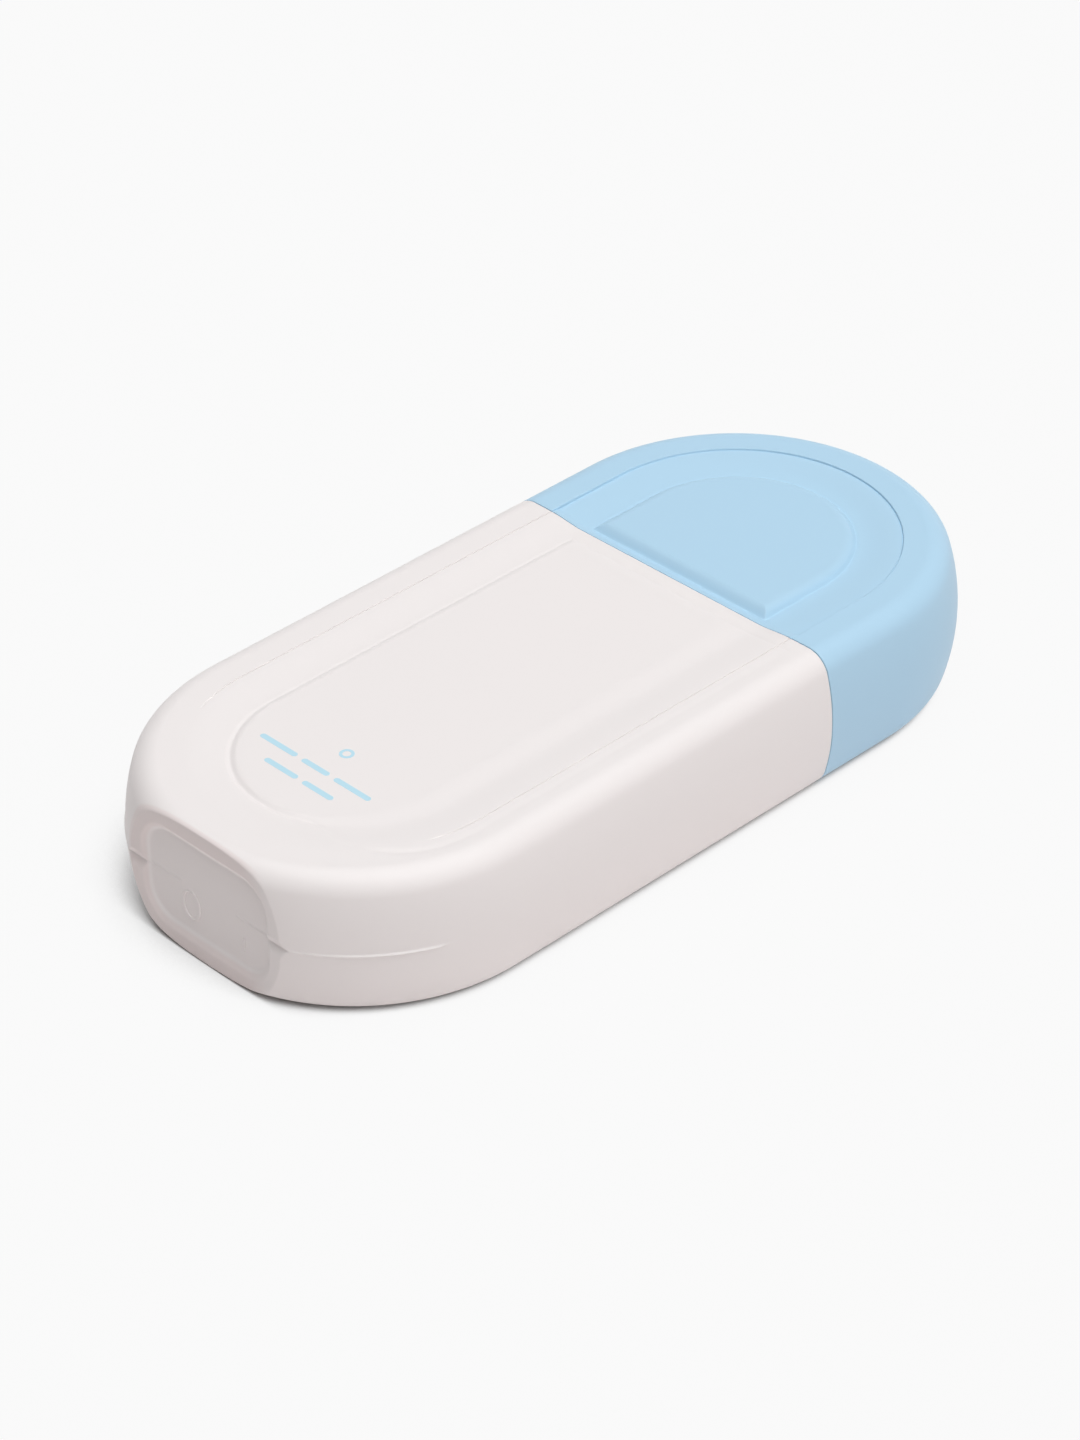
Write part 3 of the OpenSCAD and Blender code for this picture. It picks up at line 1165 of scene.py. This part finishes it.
@dataclass
class CapShell:
    """The one-piece cap with its low finger pad and the posts inside it."""

    section: Section
    places: Places
    wall: float = 1.6
    seam_depth: float = 0.56
    face_depth: float = 1.0
    far_depth: float = 0.82
    far_length: float = 28.0
    groove_share: float = 0.7
    pad_radius: float = 17.55
    pad_slope: float = 2.2
    side_power: float = 2.7
    pad_front: float = 2.0
    front_power: float = 1.5
    pad_foot: float = 1.9
    pad_below: float = 0.01
    pad_line: float = 0.09
    pad_line_width: float = 0.35
    mouth_round: float = 0.12
    mouth_step: float = 0.2
    before_foot: float = 0.6
    past_top: float = 0.2
    front_step: float = 0.1
    face_step: float = 2.0
    turn_step: float = 0.027
    hollow_step: float = 5.0
    hollow_turn_step: float = 0.045
    post_offset: float = 16.5
    post_radius: float = 2.4
    post_tip_radius: float = 1.5
    post_core: float = 0.02
    post_turns: int = 48
    plate_x: float = 49.1
    plate_thickness: float = 2.0

    @property
    def centre_x(self) -> float:
        """Where the round end's centre lies."""
        return self.places.cap_end_x - self.section.half_width

    def relief(self, x: np.ndarray, reach: np.ndarray, _: np.ndarray) -> np.ndarray:
        """How far the outside lies in: the sunk face less the finger pad.

        Args:
            x: Places along the bottle.
            reach: Distances out from the middle plane or the round end's centre.
            _: Which side of the middle plane: the cap's sides are alike.

        Returns:
            The depth of each place.
        """
        seam, power = self.places.seam_x, self.front_power
        side, front = self.pad_radius - reach, x - seam - self.pad_foot
        side_climb = np.clip(side / self.pad_slope, 0.0, 1.0)
        climb = np.clip(front / self.pad_front, 0.0, 1.0)
        front_swell = (power + 1.0) * climb**power - power * climb ** (power + 1.0)
        swell = np.minimum(1.0 - (1.0 - side_climb) ** self.side_power, front_swell)
        line = bell(np.minimum(side, front), self.pad_line_width)
        along = smooth_step(x, seam, seam + self.pad_foot)
        far = np.clip(front / self.far_length, 0.0, 1.0)
        depth = self.seam_depth + (self.face_depth - self.seam_depth) * along
        depth = depth - (self.face_depth - self.far_depth) * far
        face = self.section.sunk(reach, 0.0, depth, self.groove_share)
        return face - (depth - self.pad_below) * swell + self.pad_line * line

    def posts(self, skin: Skin) -> None:
        """Adds the two posts that carry the insert.

        Args:
            skin: The skin that the posts join.
        """
        back_x = self.plate_x + self.plate_thickness
        inner = self.section.half_width - self.wall / 2
        root_x = self.centre_x + math.sqrt(inner**2 - (self.post_offset + self.post_radius) ** 2)
        profile = rounded_profile(
            [
                (self.plate_x, self.post_core, 0.005),
                (self.plate_x, self.post_tip_radius, 0.25),
                (back_x, self.post_tip_radius, 0.1),
                (back_x, self.post_radius, 0.2),
                (root_x, self.post_radius, 0.05),
                (root_x, self.post_core, 0.005),
            ]
        )
        for side in (-1, 1):
            skin.lathe(profile, side * self.post_offset, self.section.mid_z, self.post_turns)

    def build(self, finish: bpy.types.Material) -> None:
        """Builds the cap shell and ties it to the frame.

        Args:
            finish: Its material.
        """
        mouth, foot = self.places.mouth_x, self.places.seam_x + self.pad_foot
        way = RoundEnd(self.section, self.centre_x, 1.0)
        straight = way.straight(
            mouth,
            self.mouth_round,
            (foot - self.before_foot, self.mouth_step),
            (foot + self.pad_front + self.past_top, self.front_step),
            (self.centre_x, self.face_step),
        )
        turns = spread(-QUARTER, (QUARTER, self.turn_step))
        outside, _ = way.lay(straight, turns, self.relief, fillet=self.mouth_round)
        inside = way.hollow(mouth, self.wall, self.hollow_step, self.hollow_turn_step)
        skin = Skin()
        for points in (outside, inside, np.stack([mouth_ring(outside), mouth_ring(inside)])):
            skin.grid(points)
        self.posts(skin)
        finish_piece(skin.build("cap_body"), finish, "cap", ["cap_shell"])


@dataclass
class OrificePlug:
    """The plug in the neck, with the nozzle that meters the lotion."""

    places: Places
    mid_z: float
    flange_radius: float = 6.6
    flange: float = 1.0
    skirt_radius: float = 5.2
    skirt_bore: float = 4.2
    nozzle_radius: float = 3.2
    orifice_radius: float = 1.5

    def build(self, finish: bpy.types.Material) -> None:
        """Builds the plug and ties it to the frame.

        Args:
            finish: Its material.
        """
        start, lip, tip = self.places.plug_x, self.places.lip_x, self.places.nozzle_x
        profile = rounded_profile(
            [
                (start, self.skirt_bore, 0.15),
                (start, self.skirt_radius, 0.3),
                (lip, self.skirt_radius, 0.08),
                (lip, self.flange_radius, 0.12),
                (lip + self.flange, self.flange_radius, 0.3),
                (lip + self.flange, self.nozzle_radius, 0.3),
                (tip, self.nozzle_radius, 0.4),
                (tip, self.orifice_radius, 0.25),
                (lip, self.orifice_radius, 0.15),
                (lip, self.skirt_bore, 0.3),
            ]
        )
        skin = Skin()
        skin.lathe(profile, 0.0, self.mid_z)
        made = skin.build("plug_body")
        finish_piece(made, finish, "container", ["orifice_plug"])


@dataclass(frozen=True)
class PrintBar:
    """One plain bar of ink, from one place across the bottle to another."""

    x: float
    from_y: float
    to_y: float


@dataclass
class FrontPrint:
    """The plain pale blue marks on the label panel."""

    surface_z: float
    thickness: float = 0.02
    bar_height: float = 0.95
    bar_end_points: int = 9
    bars: tuple[PrintBar, ...] = (
        PrintBar(-47.6, 12.0, 4.6),
        PrintBar(-47.6, 3.4, -2.0),
        PrintBar(-47.6, -3.2, -10.4),
        PrintBar(-51.1, 7.2, 0.6),
        PrintBar(-51.1, -0.6, -6.6),
    )
    ring_x: float = -42.4
    ring_radius: float = 1.1
    ring_hole: float = 0.62
    ring_points: int = 49

    def _slab(self, skin: Skin, outer: np.ndarray, inner: np.ndarray, pierced: bool) -> None:
        """Adds a thin slab between two closed outlines.

        Args:
            skin: The skin that the slab joins.
            outer: Points of x and y round the slab.
            inner: Points round its hole, or its middle once for each outer point.
            pierced: Whether it has a hole, which needs a wall.
        """
        low, high = self.surface_z - self.thickness, self.surface_z + self.thickness
        layers = [(inner, low), (outer, low), (outer, high), (inner, high)]
        layers += [(inner, low)] * pierced
        loops = [np.column_stack([flat, np.full(len(flat), z)]) for flat, z in layers]
        skin.grid(np.stack(loops, axis=1))

    def _bar(self, skin: Skin, bar: PrintBar) -> None:
        """Adds one bar with round ends.

        Args:
            skin: The skin that the bar joins.
            bar: The bar's places.
        """
        angles = np.linspace(-QUARTER, QUARTER, self.bar_end_points)
        ends = []
        for half, end_y in ((self.bar_height / 2, bar.from_y), (-self.bar_height / 2, bar.to_y)):
            x, y = bar.x + half * np.sin(angles), end_y - half + half * np.cos(angles)
            ends.append(np.column_stack([x, y]))
        outline = np.vstack(ends)
        loop = np.vstack([outline, outline[:1]])
        self._slab(skin, loop, np.broadcast_to(outline.mean(axis=0), loop.shape), pierced=False)

    def build(self, finish: bpy.types.Material) -> None:
        """Builds the marks and ties them to the frame.

        Args:
            finish: The ink.
        """
        bars, ring = Skin(), Skin()
        for bar in self.bars:
            self._bar(bars, bar)
        turn = np.linspace(0.0, 2 * math.pi, self.ring_points)
        outer, inner = (
            np.column_stack([self.ring_x + radius * np.cos(turn), radius * np.sin(turn)])
            for radius in (self.ring_radius, self.ring_hole)
        )
        self._slab(ring, outer, inner, pierced=True)
        for name, skin in (("print_bars", bars), ("print_ring", ring)):
            finish_piece(skin.build(name, smooth=False), finish, "container")


# Studio


def direction(turn: float, lift: float) -> Vector:
    """The unit vector at an angle round Z from X, lifted by another."""
    level = math.cos(lift)
    return Vector((math.cos(turn) * level, math.sin(turn) * level, math.sin(lift)))


@dataclass(frozen=True)
class SoftSun:
    """A broad far lamp, so that the floor is lit evenly. Its angles are in degrees."""

    name: str
    azimuth: float
    elevation: float
    strength: float
    spread: float = 60.0

    def build(self) -> None:
        """Adds the lamp, with strength 1 lighting a facing surface to its own colour."""
        lamp = bpy.data.lights.new(self.name, "SUN")
        lamp.energy = self.strength * math.pi
        lamp.angle = math.radians(self.spread)
        towards = direction(math.radians(self.azimuth), math.radians(self.elevation))
        made = add_object(self.name, lamp)
        made.location = towards
        made.rotation_euler = towards.to_track_quat("Z", "Y").to_euler()


@dataclass
class Studio:
    """The floor, the light and the camera, in metres and radians. The lens is in millimetres."""

    floor_size: float = 6.0
    floor_colour: Colour = (0.94, 0.893, 0.886)
    shade_colour: Colour = (0.58, 0.58, 0.58)
    white: Colour = (0.97, 0.97, 0.97)
    white_share: float = 0.96
    shade_samples: int = 16
    shade_reach: float = 0.03
    shade_from: float = 0.3
    shade_to: float = 0.62
    shade_lean: tuple[float, float, float] = (0.08, -0.45, 0.89)
    lights: tuple[SoftSun, ...] = (
        SoftSun("overhead_light", 0.0, 87.0, 0.72),
        SoftSun("key_light", -90.0, 45.0, 0.35),
    )
    lens: float = 110.92
    sensor: float = 36.0
    clip_start: float = 0.01
    camera_place: tuple[float, float, float] = (-0.37205, -0.3802, 0.3771)
    yaw: float = 0.80313
    pitch: float = 0.60752
    roll: float = -0.01444

    def _seen(self, graph: Graph) -> Signal:
        """Tells the rays that show the background from those that light the object.

        Args:
            graph: The nodes of the floor or of the world.

        Returns:
            1 for a ray that shows the background, or else 0.
        """
        rays = graph.node("ShaderNodeLightPath").outputs
        straight = Signal(graph, rays["Is Camera Ray"])
        return straight + rays["Is Glossy Ray"] + rays["Is Transmission Ray"]

    def floor(self) -> None:
        """Adds the pale floor, white to the eye but for the shadow at the object's foot."""
        half = self.floor_size / 2
        corners = [(-half, -half, 0), (half, -half, 0), (half, half, 0), (-half, half, 0)]
        mesh = bpy.data.meshes.new("floor")
        mesh.from_pydata(corners, [], [(0, 1, 2, 3)])
        made = add_object("floor", mesh)
        material = bpy.data.materials.new("pale_floor")
        graph = Graph(material)
        seen = self._seen(graph)
        bounce, shade = (
            graph.node("ShaderNodeBsdfDiffuse", None, {"Color": (*colour, 1.0)}).outputs[0]
            for colour in (self.floor_colour, self.shade_colour)
        )
        lit = graph.node("ShaderNodeMixShader", None, {0: seen, 1: bounce, 2: shade}).outputs[0]
        glow = {"Color": (*self.white, 1.0), "Strength": 1.0}
        white = graph.node("ShaderNodeEmission", None, glow).outputs[0]
        lean = graph.node("ShaderNodeCombineXYZ", None, dict(enumerate(self.shade_lean)))
        near = {"Distance": self.shade_reach, "Normal": lean.outputs[0]}
        count = {"samples": self.shade_samples}
        openness = graph.signal("ShaderNodeAmbientOcclusion", count, near, "AO")
        clear = graph.fade(openness, self.shade_from, self.shade_to)
        sides = {0: clear * seen * self.white_share, 1: lit, 2: white}
        shader = graph.node("ShaderNodeMixShader", None, sides)
        graph.node("ShaderNodeOutputMaterial", None, {"Surface": shader.outputs[0]})
        mesh.materials.append(material)

    def sky(self) -> None:
        """Puts a white backdrop round the scene, which lights nothing."""
        world = bpy.data.worlds.new("white_backdrop")
        graph = Graph(world)
        looks = {"Color": (0.0, 0.0, 0.0, 1.0), "Strength": 0.0}
        dark = graph.node("ShaderNodeBackground", None, looks).outputs[0]
        looks = {"Color": (*self.white, 1.0), "Strength": 1.0}
        white = graph.node("ShaderNodeBackground", None, looks).outputs[0]
        sides = {0: self._seen(graph), 1: dark, 2: white}
        shader = graph.node("ShaderNodeMixShader", None, sides)
        graph.node("ShaderNodeOutputWorld", None, {"Surface": shader.outputs[0]})
        bpy.context.scene.world = world

    def camera(self) -> None:
        """Places the camera."""
        forward = direction(self.yaw, -self.pitch)
        level = Vector((math.sin(self.yaw), -math.cos(self.yaw), 0.0))
        above = level.cross(forward)
        right = math.cos(self.roll) * level + math.sin(self.roll) * above
        up = -math.sin(self.roll) * level + math.cos(self.roll) * above
        lens = bpy.data.cameras.new("camera")
        lens.lens = self.lens
        lens.sensor_width = self.sensor
        lens.clip_start = self.clip_start
        made = add_object("camera", lens)
        turn = Matrix((right, up, -forward)).transposed().to_4x4()
        made.matrix_world = Matrix.Translation(self.camera_place) @ turn
        bpy.context.scene.camera = made

    def build(self) -> None:
        """Builds the whole studio."""
        self.camera()
        self.floor()
        self.sky()
        for light in self.lights:
            light.build()
        bpy.context.scene.view_settings.view_transform = "Standard"


def main() -> None:
    """Builds the studio and the bottle, piece by piece."""
    logging.basicConfig(level=logging.INFO, format="%(name)s: %(message)s")
    Studio().build()
    section, places = Section(), Places.from_frame()
    LOG.info("places: %s", places)
    bottle = Bottle(section, places)
    bottle.build(WARM_WHITE.material())
    CapShell(section, places).build(SKY_BLUE.material())
    OrificePlug(places, section.mid_z).build(PLUG_WHITE.material())
    FrontPrint(bottle.label_z).build(PRINT_INK.material())
    dress(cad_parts["cap_insert"], INSERT_WHITE.material())
    dress(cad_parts["sealing_liner"], LINER_FOAM.material())


if __name__ == "__main__":
    main()
